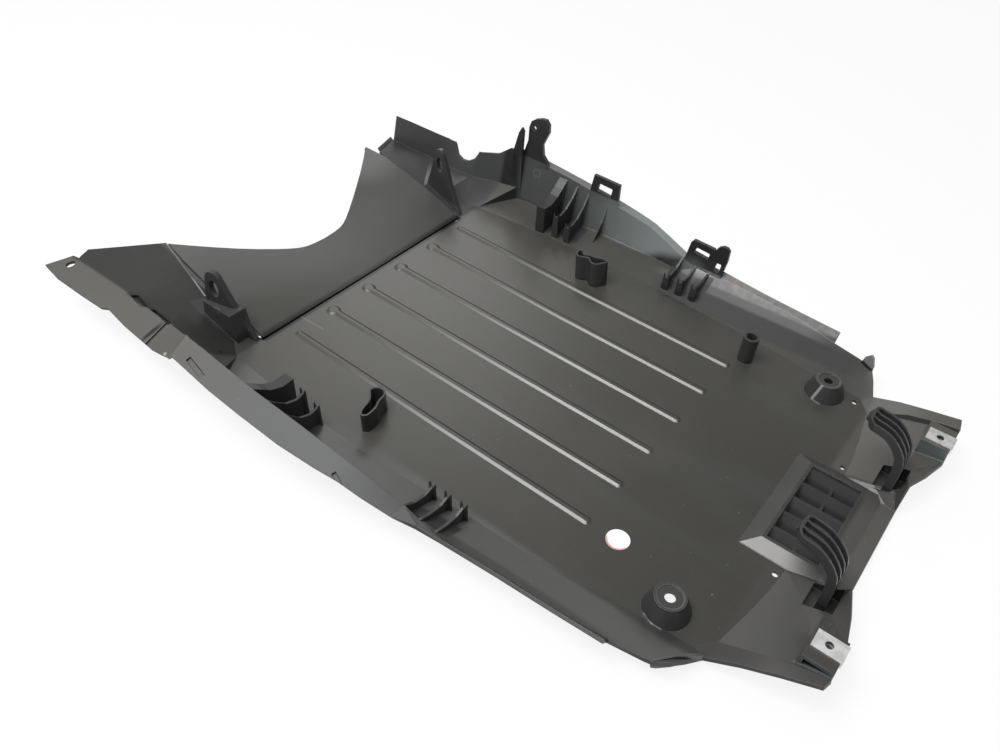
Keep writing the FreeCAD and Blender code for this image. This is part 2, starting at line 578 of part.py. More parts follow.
def clip(side):
    """A folded clip nut: two leaves round the table's rear edge and a barrel under the lower one."""
    x1 = TABLE_X[1] + GAP
    x0 = x1 - CLIP_LENGTH
    y0, y1 = (CLIP_AT[1] - CLIP_WIDTH / 2) * side, (CLIP_AT[1] + CLIP_WIDTH / 2) * side
    top = TABLE_TOP + GAP
    under = TABLE_TOP - TABLE_THICK - GAP
    upper = box(x0, x1 + CLIP_SHEET, y0, y1, top, top + CLIP_SHEET)
    bend = box(x1, x1 + CLIP_SHEET, y0, y1, under - CLIP_SHEET, top + CLIP_SHEET)
    lower = box(x0 + 3.0, x1 + CLIP_SHEET, y0, y1, under - CLIP_SHEET, under)
    at = V(CLIP_AT[0], CLIP_AT[1] * side, under - CLIP_SHEET - CLIP_BARREL)
    barrel = Part.makeCylinder(CLIP_BARREL_R, CLIP_BARREL + EMBED / 2, at)
    bore = Part.makeCylinder(CLIP_BORE_R, 30.0, at - V(0, 0, 1))
    corner_bend = bend.fuse([upper, lower, barrel]).cut(bore).removeSplitter()
    return corner_bend


def louvre_vent():
    """The housing of the vent, the room cut in it, and the blades with their cross rib."""
    fx0, fx1 = VENT_FRONT_X, VENT_FRONT_X + VENT_LENGTH
    rx0, rx1 = fx0 + VENT_SLOPE_X[0], fx1 - VENT_SLOPE_X[1]
    fy, ry = VENT_HALF_WIDTH, VENT_HALF_WIDTH - VENT_SLOPE_Y
    ox0, ox1, oy = rx0 + VENT_RIM[0], rx1 - VENT_RIM[1], ry - VENT_RIM[2]
    low = [V(fx0, -fy, -EMBED), V(fx1, -fy, -EMBED), V(fx1, fy, -EMBED), V(fx0, fy, -EMBED)]
    high = [V(rx0, -ry, VENT_HEIGHT), V(rx1, -ry, VENT_HEIGHT), V(rx1, ry, VENT_HEIGHT),
            V(rx0, ry, VENT_HEIGHT)]
    room = box(ox0, ox1, -oy, oy, -2 * SHEET, 2 * VENT_HEIGHT)
    parts = []
    for k in range(BLADE_COUNT):
        y = (k - (BLADE_COUNT - 1) / 2) * BLADE_PITCH - BLADE_RUN / 2
        outline = [(y, -SHEET + 0.4), (y + BLADE_THICK, -SHEET + 0.4), (y + BLADE_RUN, BLADE_TOP),
                   (y + BLADE_RUN - BLADE_THICK, BLADE_TOP)]
        x0, x1 = ox0 - EMBED, ox1 + EMBED
        parts.append(block([V(x0, a, b) for a, b in outline], V(x1 - x0, 0, 0)))
    middle = (ox0 + ox1) / 2
    parts.append(box(middle, middle + PLATE, -oy - EMBED, oy + EMBED, -SHEET + 0.4, 2.0))
    return hull(low, high), room, parts


def deflector():
    """The dished front panel with its deep V cut and the tongue that reaches under the floor."""
    def at_station(table, x, column):
        for a, b in zip(table[:-1], table[1:]):
            if b[0] <= x:
                t = (x - a[0]) / (b[0] - a[0])
                return a[column] + (b[column] - a[column]) * t
        return table[-1][column]

    half = [0.1, 0.15, 0.19, 0.23, 0.28, 0.36, 0.48, 0.6, 0.74, 0.87, 1.0]
    shares = [-s for s in reversed(half)] + [0.0] + half
    stations = 5
    rows = []
    for i in range(stations + 1):
        row = []
        for s in shares:
            widest = DEFLECTOR_EDGE[-1][1]
            reach = (abs(s) * widest - NOTCH_FLAT_Y) / (widest - NOTCH_FLAT_Y)
            reach = (reach + math.hypot(reach, NOTCH_ROUND)) / 2
            x_front = NOTCH_DEPTH_X + (DEFLECTOR_FRONT - NOTCH_DEPTH_X) * reach
            x_rear = DEFLECTOR_STATIONS[0][0]
            x = x_rear + (x_front - x_rear) * i / stations
            edge = at_station(DEFLECTOR_EDGE, x, 1)
            mid, side = at_station(DEFLECTOR_STATIONS, x, 1), at_station(DEFLECTOR_STATIONS, x, 2)
            row.append((x, edge * s, mid + (side - mid) * abs(s) ** DISH_POWER))
        rows.append(row)
    panel = Skin()
    panel.strip(rows[::-1])
    body = panel.solid(SHEET, flat_first=False)
    low = -SHEET - GAP
    rear = DEFLECTOR_STATIONS[0][0]
    reach = RISER_HALF + TONGUE_OVERREACH
    tongue = box(TONGUE_X[0], TONGUE_X[1], -reach, reach, low - SHEET, low)
    riser = box(TONGUE_X[0], rear - 0.2, -RISER_HALF, RISER_HALF, low - SHEET, -0.6)
    skirts = []
    for side in (1.0, -1.0):
        for (xa, da), (xb, db) in zip(DEFLECTOR_SKIRT[:-1], DEFLECTOR_SKIRT[1:]):
            wall = []
            for x, drop in ((xa, da), (xb, db)):
                y = at_station(DEFLECTOR_EDGE, x, 1)
                z = at_station(DEFLECTOR_STATIONS, x, 2) - SHEET / 2
                wall.append((x, y, z, z - drop))
            (x0, ya, za, la), (x1, yb, zb, lb) = wall
            outer = [V(x0, ya * side, za), V(x1, yb * side, zb)]
            outer += [V(x1, yb * side, lb), V(x0, ya * side, la)]
            inner = [p - V(0, SKIRT_THICK * side, 0) for p in outer]
            skirts.append(hull(outer, inner))
    return body.fuse([tongue, riser] + skirts)


# The floor runs as one flat panel between the two floor edges and back between the deck's inner walls.
FLOOR_REAR = [(482.0, 60.0, 0.0), (505.0, 52.0, 0.0), (520.0, 51.0, 0.0), (528.0, 50.0, 0.0)]
# The wings reach inward to this line beside the front deflector.
WING_INNER = [(-13.0, 145.0, 0.0), (-30.0, 145.0, 3.0), (-56.0, 145.0, 8.0), (-77.0, 145.2, 13.5),
              (-110.0, 147.0, 27.0)]
skin = Skin()
floor_edge = [WING_INNER[0]] + [row[0] for row in TRAY_ROWS] + [TAIL_ROWS[1][0], TAIL_ROWS[2][0]]
deck_front = [DECK_ROWS[0][k] for k in (4, 3, 2, 1, 0)]
outline = [vec(p) for p in floor_edge + deck_front + FLOOR_REAR[1:]]
outline.reverse()
skin.face([V(p.x, -p.y, p.z) for p in reversed(outline)] + outline)
for side, wing in ((1.0, FAR_WING), (-1.0, NEAR_WING)):
    skin.strip(TRAY_ROWS, side)
    skin.strip(TAIL_ROWS, side)
    skin.strip(DECK_ROWS, side)
    corner = [vec(p, side) for p in (DECK_ROWS[0][4], DECK_ROWS[0][5], TAIL_ROWS[2][0])]
    if side < 0:
        corner.reverse()
    skin.face(corner)
    skin.strip([[a, row[0]] for a, row in zip(FLOOR_REAR, DECK_ROWS)], side)
    skin.strip([wing[0], TRAY_ROWS[0]], side)
    skin.strip(wing[::-1], side)
    skin.strip([[a, row[0]] for a, row in zip(WING_INNER, wing)][::-1], side)
skin.strip(NEAR_TIP[::-1], -1.0)
pan = skin.solid(SHEET)

# Everything that stands up from the sheet, on the floor first and then on both side walls.
added = []
cuts = []
for k in range(RIB_COUNT):
    y = (k - (RIB_COUNT - 1) / 2) * RIB_PITCH
    outer = k in (0, RIB_COUNT - 1)
    added += rib(y, RIB_START[k], RIB_LEAN[k], RIB_TAIL_R if outer else RIB_NOSE_R)
for side in (1.0, -1.0):
    for x, thick, outline in FRONT_GUSSETS + REAR_GUSSETS:
        added += gusset(x, thick, outline, side)
    added += bracket(side)
    added += arm(side)
(ax, ay), (bx, by) = TAIL_FIN_RUN
fin = [V(x, ay + (by - ay) * (x - ax) / (bx - ax), z) for x, z in TAIL_FIN]
added.append(block(fin, V(-1.2, -1.6, 0)))
(ax, ay), (bx, by) = NEAR_TAIL_RUN
plate = [V(ax + (bx - ax) * share, ay + (by - ay) * share, z) for share, z in NEAR_TAIL_PLATE]
square = V(by - ay, ax - bx, 0)
square.normalize()
added.append(block(plate, square * -NEAR_TAIL_THICK))

# The lug, the fin and the loops stand on the far wall only.
lug_bore = Part.makeCylinder(LUG_BORE[2], 20.0, V(LUG_BORE[0], LUG_Y[0] - 5, LUG_BORE[1]), V(0, 1, 0))
added.append(upright(LUG_PLATE, *LUG_Y).cut(lug_bore))
added.append(upright(WEB_PLATE, *WEB_Y))
added.append(upright(WEB_TIE, WEB_Y[0], LUG_Y[0] + PLATE))
added.append(across(LOOP_A_LEG[1], LOOP_A_LEG[0], PLATE))
for outline, window, (y0, y1) in ((LOOP_A, LOOP_A_WINDOW, LOOP_A_Y), (LOOP_B, LOOP_B_WINDOW, LOOP_B_Y),
                                  (EAR_PLATE, EAR_WINDOW, LOOP_B_Y)):
    added.append(upright(outline, y0, y1).cut(upright(window, y0 - 1, y1 + 1)))

a, b, rise = V(*WING_LIP[0]), V(*WING_LIP[1]), V(*WING_LIP_RISE)
added.append(block([a, b, b + rise, a + rise], V(EMBED + 0.8, 0, -2.2)))

# Posts on the floor.
added.append(post(FAR_POST, FAR_POST_HEIGHT, FAR_POST_LEAN))
added.append(post(NEAR_POST, NEAR_POST_HEIGHT, NEAR_POST_LEAN))
sx, sy = SPLIT_POST_AT
tube = Part.makeCylinder(SPLIT_POST_R, SPLIT_POST_HEIGHT + EMBED, V(sx, sy, -EMBED))
tube = tube.cut(Part.makeCylinder(SPLIT_POST_R - PLATE, SPLIT_POST_HEIGHT, V(sx, sy, PLATE)))
half = SPLIT_WIDTH / 2
slit = box(-2 * SPLIT_POST_R, 0, -half, half, SPLIT_POST_HEIGHT / 2, SPLIT_POST_HEIGHT + 1)
slit.rotate(V(0, 0, 0), V(0, 0, 1), -20)
slit.translate(V(sx, sy, 0))
added.append(tube.cut(slit))

# The rear end: vent housing, pockets, tables and drain cones.
housing, vent_room, blades = louvre_vent()
added.append(housing)
cuts.append(vent_room)
for side in (1.0, -1.0):
    tray, pocket_room = pocket(side)
    stand, nut_bore = table(side)
    added += [tray, stand]
    cuts += [pocket_room.cut(arm(side)[0]), nut_bore]
    foot = V(CONE_AT[0], CONE_AT[1] * side, -SHEET)
    cuts.append(Part.makeCone(CONE_FOOT_R - SHEET, CONE_TOP_R - SHEET, CONE_HEIGHT, foot))

# Holes in the floor and the front tab, the notch of the far wing and the grooves of the near flange.
for x, y, r in FLOOR_HOLES:
    cuts.append(Part.makeCylinder(r, 40.0, V(x, y, -20.0)))
cuts.append(Part.makeCylinder(TAB_HOLE[2], 40.0, V(TAB_HOLE[0], TAB_HOLE[1], 20.0)))
cuts.append(block([V(x, 188.0, z) for x, z in NOTCH], V(0, 70.0, 0)))
cuts.append(block([V(x, y, 30.0) for x, y in TAB_NICK], V(0, 0, 30.0)))
cuts.append(box(FLANGE_GAP_X[0], FLANGE_GAP_X[1], FLANGE_GAP_Y, FLANGE_GAP_Y + 40.0, 0.0, 60.0))
sunk = pan.translated(V(0, -0.6, -1.2) * GROOVE_DEPTH)
for x0, y0, x1, y1, width in NEAR_GROOVES:
    length = math.hypot(x1 - x0, y1 - y0)
    wide = V(-(y1 - y0), x1 - x0, 0) * (width / 2 / length)
    a, b = V(x0, y0, 10.0), V(x1, y1, 10.0)
    strip_over = block([a - wide, b - wide, b + wide, a + wide], V(0, 0, 60.0))
    cuts.append(strip_over.common(pan).cut(sunk))

pan = pan.fuse(added).cut(cuts).fuse(blades + [cone(1.0), cone(-1.0)])
label = Part.makeCylinder(LABEL_R, LABEL_THICK, V(RIB_LENGTH + LABEL_BEHIND_RIBS, LABEL_Y, 0))
nodes = {
    "pan": pan,
    "front_deflector": deflector(),
    "clip_nut_left": clip(1.0),
    "clip_nut_right": clip(-1.0),
    "round_label": label,
}

# The origin is the middle of the whole part's underside.
bounds = FreeCAD.BoundBox()
for shape in nodes.values():
    bounds.add(shape.optimalBoundingBox(False))
shift = V(-(bounds.XMin + bounds.XMax) / 2, -(bounds.YMin + bounds.YMax) / 2, -bounds.ZMin)
for name, shape in nodes.items():
    shape.translate(shift)
    shape.exportStep("parts/" + name + ".step")
    print(name, shape.isValid(), len(shape.Solids), round(shape.Volume))
print("size", bounds.XLength, bounds.YLength, bounds.ZLength, "shift", shift.x, shift.y, shift.z)
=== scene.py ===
# %% [markdown]
# # A motorcycle belly pan
# This lesson dresses the solid model of a moulded plastic belly pan: the tray that closes the underside of
# a motorcycle. The solid model gives every true size. Here the moulding gets soft facet shading, plastic
# that looks handled, bright clip nuts, a film label, and the studio in which it is seen.

# %% Load the solid model
import math
import bmesh
import bpy
from mathutils import Matrix, Vector


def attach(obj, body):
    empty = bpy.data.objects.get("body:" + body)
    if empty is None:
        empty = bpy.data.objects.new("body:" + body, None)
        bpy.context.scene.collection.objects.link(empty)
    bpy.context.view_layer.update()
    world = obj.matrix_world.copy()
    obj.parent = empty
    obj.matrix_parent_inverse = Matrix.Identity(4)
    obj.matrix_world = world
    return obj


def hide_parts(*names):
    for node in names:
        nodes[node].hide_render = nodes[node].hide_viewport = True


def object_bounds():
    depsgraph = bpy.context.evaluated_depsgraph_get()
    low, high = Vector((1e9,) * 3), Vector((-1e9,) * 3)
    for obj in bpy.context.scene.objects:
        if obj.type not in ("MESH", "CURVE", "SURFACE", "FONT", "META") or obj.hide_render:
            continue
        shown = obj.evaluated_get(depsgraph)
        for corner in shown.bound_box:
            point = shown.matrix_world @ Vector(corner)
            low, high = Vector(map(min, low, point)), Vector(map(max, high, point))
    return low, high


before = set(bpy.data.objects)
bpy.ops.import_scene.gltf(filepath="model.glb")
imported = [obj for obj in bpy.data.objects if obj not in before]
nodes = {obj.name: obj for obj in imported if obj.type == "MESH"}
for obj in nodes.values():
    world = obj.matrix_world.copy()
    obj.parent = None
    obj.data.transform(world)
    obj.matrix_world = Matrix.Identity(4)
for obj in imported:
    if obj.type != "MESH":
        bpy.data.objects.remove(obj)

cad_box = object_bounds()
print("nodes", sorted(nodes), "box", [tuple(round(v, 4) for v in corner) for corner in cad_box])

# %% [markdown]
# ## Where things are
# The pan was measured with X along the ribs from the seam and Y from the middle of the six ribs. The solid
# model has its origin under the middle of the part instead, so one shift turns a measured point into a model
# point. The shift comes from the model itself: the rear edge and the lowest face are known.

# %% Measured points become model points
MM = 0.001
REAR_END_MM = 542.15
LOWEST_MM = -6.15
low_corner, high_corner = cad_box
shift = Vector((high_corner[0] - REAR_END_MM * MM, 0.0, low_corner[2] - LOWEST_MM * MM))


def measured(x, y, z):
    """A point measured on the pan in millimetres, as a point of the model in metres."""
    return Vector((x, y, z)) * MM + shift


print("shift", tuple(round(v, 5) for v in shift))

# %% [markdown]
# ## The camera
# The picture looks down over the near rear corner of the pan. Its three axes were solved from the parallel
# ribs, the seam and features that stand on both sides of the pan, so the object falls on the same pixels as
# in the picture.

# %% Make the camera
IMAGE_SIZE = (1000, 750)
FOCAL_PIXELS = 815.9
SENSOR_MM = 36.0
CAMERA_AT = measured(508.28, -481.25, 517.88)
LOOK_RIGHT = Vector((0.78387911, 0.61909678, 0.04746282))
LOOK_DOWN = Vector((0.45210403, -0.51669841, -0.72706582))
LOOK_ALONG = Vector((-0.42560014, 0.59138984, -0.68492524))

camera_data = bpy.data.cameras.new("camera")
camera_data.sensor_width = SENSOR_MM
camera_data.lens = FOCAL_PIXELS / IMAGE_SIZE[0] * SENSOR_MM
camera_data.clip_start = 0.01
camera = bpy.data.objects.new("camera", camera_data)
turn = Matrix((LOOK_RIGHT, -LOOK_DOWN, -LOOK_ALONG)).transposed().to_4x4()
camera.matrix_world = Matrix.Translation(CAMERA_AT) @ turn
bpy.context.scene.collection.objects.link(camera)
bpy.context.scene.camera = camera
print("lens", round(camera_data.lens, 2), "mm")

# %% [markdown]
# ## Shader arithmetic
# A finish is a web of nodes. Written node by node it is long and hard to read, so a small class wraps an
# output and lets Python's own signs add the Math nodes. Every other node comes from one method, `add`.

# %% A wire that does arithmetic


class Wire:
    """One output of a node. Arithmetic on it adds the Math node that does it."""

    def __init__(self, finish, socket):
        self.finish = finish
        self.socket = socket

    def math(self, operation, first, second=0.0):
        return self.finish.add("ShaderNodeMath", {"operation": operation}, {0: first, 1: second})[0]

    def __add__(self, other):
        return self.math("ADD", self, other)

    def __sub__(self, other):
        return self.math("SUBTRACT", self, other)

    def __rsub__(self, other):
        return self.math("SUBTRACT", other, self)

    def __mul__(self, other):
        return self.math("MULTIPLY", self, other)

    def __abs__(self):
        return self.math("ABSOLUTE", self)

    __radd__ = __add__
    __rmul__ = __mul__

    def least(self, other):
        """The smaller of two values."""
        return self.math("MINIMUM", self, other)

    def most(self, other):
        """The larger of two values."""
        return self.math("MAXIMUM", self, other)

    def rise(self, low, high):
        """0 below low, 1 above high, and a soft step between."""
        settings = {"interpolation_type": "SMOOTHSTEP"}
        sockets = {"Value": self, "From Min": low, "From Max": high}
        return self.finish.add("ShaderNodeMapRange", settings, sockets)["Result"]


class Outputs:
    """The outputs of a node, by name or number."""

    def __init__(self, finish, node):
        self.finish = finish
        self.node = node

    def __getitem__(self, key):
        return Wire(self.finish, self.node.outputs[key])


print("wires ready")

# %% [markdown]
# ## A finish owns its nodes
# Every mark on the pan has a place, so the finish works in the measured millimetres. `near`, `stroke` and
# `ring` each give a mask: a patch, a straight mark and a circle. A mask is 1 on the mark and 0 away from it.
# The finish keeps its colour so far in `tone`, and `lay` mixes one more layer over it.

# %% A finish with masks in millimetres
EDGE_RADIUS = 0.9 * MM
GRAIN_SCALE = 2600.0
GRAIN_DEPTH = 0.2 * MM
GRAIN_STRENGTH = 0.1
PLASTIC_IOR = 1.47
CORE_SHARE = 0.3


class Finish:
    """A material with its Principled shader and the nodes that feed it."""

    def __init__(self, name):
        self.material = bpy.data.materials.new(name)
        self.material.use_nodes = True
        self.tree = self.material.node_tree
        self.shader = self.tree.nodes["Principled BSDF"]
        self.place = self.add("ShaderNodeTexCoord")["Object"]
        moved = self.vector("SUBTRACT", self.place, shift)[0]
        self.here = self.vector("SCALE", moved, scale=1 / MM)[0]
        apart = self.add("ShaderNodeSeparateXYZ", {}, {0: self.here})
        self.x, self.y, self.z = apart[0], apart[1], apart[2]
        self.facing = self.add("ShaderNodeNewGeometry")["Normal"]
        turned = self.add("ShaderNodeSeparateXYZ", {}, {0: self.facing})
        self.sideways, self.up = turned[1], turned[2]
        self.tone = grey(1.0)

    def add(self, kind, settings=None, sockets=None):
        """Any node: its settings first, then the values or links of its sockets."""
        node = self.tree.nodes.new(kind)
        for key, value in (settings or {}).items():
            setattr(node, key, value)
        for key, value in (sockets or {}).items():
            if isinstance(value, Wire):
                self.tree.links.new(value.socket, node.inputs[key])
            else:
                node.inputs[key].default_value = value
        return Outputs(self, node)

    def vector(self, operation, first, second=(0.0, 0.0, 0.0), scale=1.0):
        """A Vector Math node; its fourth socket is the scale."""
        sockets = {0: first, 1: second, 3: scale}
        return self.add("ShaderNodeVectorMath", {"operation": operation}, sockets)

    def noise(self, scale, detail=4.0, stretch=(1.0, 1.0, 1.0)):
        """Cloudy noise from 0 to 1 at a size of 1/scale metres."""
        seen = self.vector("MULTIPLY", self.place, stretch)[0]
        sockets = {"Vector": seen, "Scale": scale, "Detail": detail, "Roughness": 0.55}
        return self.add("ShaderNodeTexNoise", {}, sockets)[0]

    def mix(self, share, first, second):
        """A colour between two colours."""
        return self.add("ShaderNodeMix", {"data_type": "RGBA"}, {0: share, 6: first, 7: second})[2]

    def lay(self, share, colour):
        """Mix one more layer over the colour so far."""
        self.tone = self.mix(share, self.tone, colour)

    def near(self, point, radius):
        """1 at a point of the pan, fading to 0 at the radius."""
        return 1.0 - self.vector("DISTANCE", self.here, point)["Value"].rise(radius * CORE_SHARE, radius)

    def ring(self, point, radius, width):
        """1 along a circle round a point."""
        gap = abs(self.vector("DISTANCE", self.here, point)["Value"] - radius)
        return 1.0 - gap.rise(width * CORE_SHARE, width)

    def stroke(self, start, end, width):
        """1 along a straight mark between two points."""
        way = Vector(end) - Vector(start)
        along = self.vector("SUBTRACT", self.here, start)[0]
        share = self.vector("DOT_PRODUCT", along, way / way.length_squared)["Value"].most(0.0).least(1.0)
        foot = self.vector("SCALE", way, scale=share)[0]
        return 1.0 - self.vector("DISTANCE", along, foot)["Value"].rise(width * CORE_SHARE, width)

    def between(self, along, low, high, soft=1.0):
        """1 where a coordinate lies between two values, with soft ends."""
        return along.rise(low - soft, low + soft) * (1.0 - along.rise(high - soft, high + soft))

    def rounded(self):
        """The normal with every edge rounded a little."""
        return self.add("ShaderNodeBevel", {"samples": 4}, {"Radius": EDGE_RADIUS})["Normal"]

    def bump(self, height, strength, depth, sockets=None):
        """A normal with a height bumped over it."""
        values = {"Height": height, "Strength": strength, "Distance": depth}
        return self.add("ShaderNodeBump", {}, values | (sockets or {}))["Normal"]

    def feed(self, **sockets):
        """Values or links for the shader's own sockets, with _ for a space in the name."""
        for key, value in sockets.items():
            target = self.shader.inputs[key.replace("_", " ")]
            if isinstance(value, Wire):
                self.tree.links.new(value.socket, target)
            else:
                target.default_value = value


def grey(level, warm=0.0, green=0.0):
    """A near-grey colour; warm lifts red and lowers blue."""
    return (level * (1 + warm), level * (1 + green), level * (1 - warm), 1.0)


print("finish ready")

# %% [markdown]
# ## The plastic, from clean to dusty
# The pan is black polypropylene that has been ridden over dusty roads and wiped. Upright parts have stayed
# clean and nearly black. Surfaces that lie flat carry a film of fine dust, lighter toward the front of the
# floor than at the rear, so the film follows how far a face points up. A pan of one dark colour would look
# like a toy.

# %% Mix the clean plastic and its film of dust
CLEAN = grey(0.021, 0.0, 0.01)
FRONT_FILM = grey(0.058, 0.07, 0.045)
REAR_FILM = grey(0.033, 0.07, 0.045)
FAR_REAR_FILM = grey(0.052, 0.07, 0.045)

pan_plastic = Finish("pan_plastic")
lay, mix, between = pan_plastic.lay, pan_plastic.mix, pan_plastic.between
x, y, z = pan_plastic.x, pan_plastic.y, pan_plastic.z
side = abs(y)
lying = pan_plastic.up.rise(0.3, 0.8)
clouds = pan_plastic.noise(9.0)
fibre = pan_plastic.noise(30.0, 5.0, stretch=(0.2, 1.0, 1.0))
grain = pan_plastic.noise(GRAIN_SCALE, 2.0)

pan_plastic.tone = CLEAN
lay(lying, mix(x.rise(-60.0, 520.0), FRONT_FILM, REAR_FILM))
far_rear = y.rise(10.0, 170.0) * x.rise(60.0, 380.0) * lying
lay(far_rear * 0.6, FAR_REAR_FILM)
print("film ready")

# %% [markdown]
# ## Regions of the moulding
# Each part of the moulding has its own tone, and some carry painted light. The far wall carries a painted
# cool highlight that grows toward the rear and a pale painted highlight along its lip, but the lug and loops
# that stand on it are clean. The near flange is painted pale as a highlight, the wings are cleaner than the
# floor, and the rear deck is warmer. Each region is a mask from the measured coordinates.

# %% Paint the far side
WALL_PLANE = (213.0, 216.0)

front_loop = between(x, 105.0, 149.0) * z.rise(51.0, 54.0)
rear_loop = between(x, 235.0, 286.0) * z.rise(32.0, 36.0)
rear_loop_foot = between(x, 236.0, 286.0) * between(y, 214.2, 218.0, 0.3) * z.rise(22.0, 24.0)
standing = z.rise(58.0, 62.0).most(front_loop).most(rear_loop).most(rear_loop_foot)
settled = 1.0 - standing

# Painted highlight: a cool bloom of light is painted on the far wall, growing toward the rear.
far_wall_highlight = y.rise(*WALL_PLANE) * z.rise(2.0, 12.0) * x.rise(8.0, 22.0) * settled
lay(far_wall_highlight, mix(x.rise(80.0, 215.0), grey(0.072, -0.02, 0.04), grey(0.23, -0.05, 0.06)))
dark_band = between(y, 176.0, 197.0, 3.0) * between(x, 225.0, 440.0, 12.0) * lying
lay(dark_band, grey(0.034))
far_slope = between(y, 197.0, 206.0, 2.0) * between(x, 222.0, 398.0, 16.0) * lying
lay(far_slope, grey(0.1, 0.0, 0.03))
mottle = pan_plastic.noise(200.0, 5.0).rise(0.35, 0.7)
# Painted highlight: the far wall's lip is painted as a pale, mottled strip of light.
far_lip_highlight = y.rise(204.0, 207.0) * x.rise(236.0, 262.0) * z.rise(11.0, 14.0) * settled
lay(far_lip_highlight, mix(mottle, grey(0.16, 0.02), grey(0.21, 0.02)))
lay(standing * y.rise(*WALL_PLANE), grey(0.028))

# Painted light: the far wing's steep wall is painted lighter toward the rear, as if lit, while its flat
# floor stays dark.
far_wing = y.rise(138.0, 144.0) * (1.0 - x.rise(-13.0, -6.0))
wing_floor_tone = grey(0.034, 0.0, 0.02)
wing_wall_lit_tone = mix(x.rise(-110.0, -50.0), wing_floor_tone, grey(0.062, -0.02, 0.04))
lay(far_wing, mix(lying, wing_wall_lit_tone, wing_floor_tone))
print("far side painted")

# %% Paint the near side
# Painted highlight: the near flange is painted pale, palest toward the front.
near_flange = (1.0 - y.rise(-214.0, -210.0)) * z.rise(20.0, 30.0) * lying
lay(near_flange, mix(x.rise(-10.0, 120.0), grey(0.083, 0.06, 0.02), grey(0.06, -0.02, 0.02)))

near_wall = (1.0 - y.rise(-176.0, -168.0)) * (1.0 - near_flange) * x.rise(-13.0, -8.0) * lying
wall_tone = mix(x.rise(150.0, 250.0), grey(0.06, 0.03, 0.02), grey(0.08, 0.03, 0.02))
under_rim = x.rise(255.0, 275.0) * z.rise(12.5, 15.5)
lay(near_wall, mix(under_rim, wall_tone, grey(0.056, 0.03, 0.02)))

near_wing = (1.0 - y.rise(-146.0, -140.0)) * (1.0 - x.rise(-16.0, -12.0)) * (1.0 - near_flange)
lay(near_wing * lying, grey(0.02, 0.04, 0.03))
print("near side painted")

# %% Paint the rear deck, the vent's slope and the ribs
deck = x.rise(466.0, 472.0) * side.rise(60.0, 64.0) * lying
lay(deck, mix(y.rise(-60.0, 60.0), grey(0.04, 0.06, 0.03), grey(0.066, 0.07, 0.03)))
middle_deck = x.rise(502.0, 506.0) * (1.0 - side.rise(58.0, 64.0)) * lying
lay(middle_deck, grey(0.07, 0.05, 0.02))

facing_near = 1.0 - pan_plastic.sideways.rise(-0.45, -0.3)
facing_far = pan_plastic.sideways.rise(0.3, 0.45)
# Painted highlight: the vent's near slope is painted pale toward its front, where it catches the overhead
# light.
vent_slope_highlight = between(x, 438.0, 505.0, 3.0) * between(y, -63.0, -48.2, 0.5) * z.rise(0.2, 0.8)
lay(vent_slope_highlight * facing_near * (1.0 - x.rise(472.0, 500.0)), grey(0.2, 0.03))

# Painted highlight and shade: the ribs' near slopes are painted pale toward the rear, and their far slopes
# are painted darker.
RIB_BAND = (0.2, 1.55)
rib_slope_light_and_shade = between(z, *RIB_BAND, 0.15) * between(x, 0.0, 345.0) * (1.0 - side.rise(128.0, 132.0))
lay(rib_slope_light_and_shade * facing_near * x.rise(40.0, 240.0), grey(0.25, 0.02))
lay(rib_slope_light_and_shade * facing_far * 0.6, grey(0.012))

tail_fin = between(x, 443.0, 457.0) * y.rise(183.0, 186.0) * z.rise(15.5, 17.5)
lay(tail_fin, grey(0.22, 0.01))
# Painted highlight: the ends of the clip tables are painted a pale green-grey.
table_end_highlight = between(y, -140.5, -137.8, 0.4).most(between(y, 109.3, 111.6, 0.4))
lay(table_end_highlight * between(x, 516.0, 543.0) * between(z, 14.0, 29.6), grey(0.1, -0.06, 0.06))
print("rear painted")

# %% [markdown]
# ## Clean parts and dark hollows
# The brackets, gussets, posts and guide arms stand clear of the dusty air and stay black. The vent's inside,
# the cones' inside and the pockets round the arms' feet get no light, so they are darkened too. Each part's
# mask is a box with soft sides. Both halves of the pan are reached at once through the distance from the
# middle.

# %% Darken the parts that stand up and the hollows
PARTS = {"front gussets": ((58.0, 118.0), (182.0, 213.0), (2.0, 60.0)),
         "rear gussets": ((228.0, 276.0), (180.0, 213.0), (8.0, 30.0)),
         "brackets": ((-86.0, -18.0), (144.0, 169.0), (10.0, 70.0)),
         "arms": ((470.0, 521.0), (56.0, 84.0), (12.0, 72.0)),
         "curved posts": ((120.0, 182.0), (128.0, 152.0), (2.0, 32.0)),
         "split post": ((342.0, 360.0), (130.0, 150.0), (2.0, 30.0)),
         "pockets": ((504.0, 523.0), (61.0, 86.0), (-4.0, 9.0))}
for along, out, high in PARTS.values():
    lay(between(x, *along) * between(side, *out) * between(z, *high), grey(0.034, 0.0, 0.02))

CONE_X, CONE_Y, CONE_MIDDLE = 428.5, 147.0, 8.0
CONES = [(CONE_X, -CONE_Y, CONE_MIDDLE), (CONE_X, CONE_Y, CONE_MIDDLE)]
for cone in CONES:
    lay(pan_plastic.near(cone, 40.0) * between(z, 0.8, 14.6, 0.4), grey(0.036, 0.0, 0.03))
vent_inside = between(x, 458.0, 500.0) * (1.0 - side.rise(45.5, 46.5)) * (1.0 - z.rise(5.6, 6.2))
lay(vent_inside, mix(z.rise(-0.8, 2.2), grey(0.002), grey(0.019, 0.0, 0.02)))
underside = 1.0 - pan_plastic.up.rise(-0.3, 0.1)
cone_inside = pan_plastic.near(CONES[1], 50.0) * underside
lay(cone_inside, grey(0.002))
print("darkened:", ", ".join(PARTS))
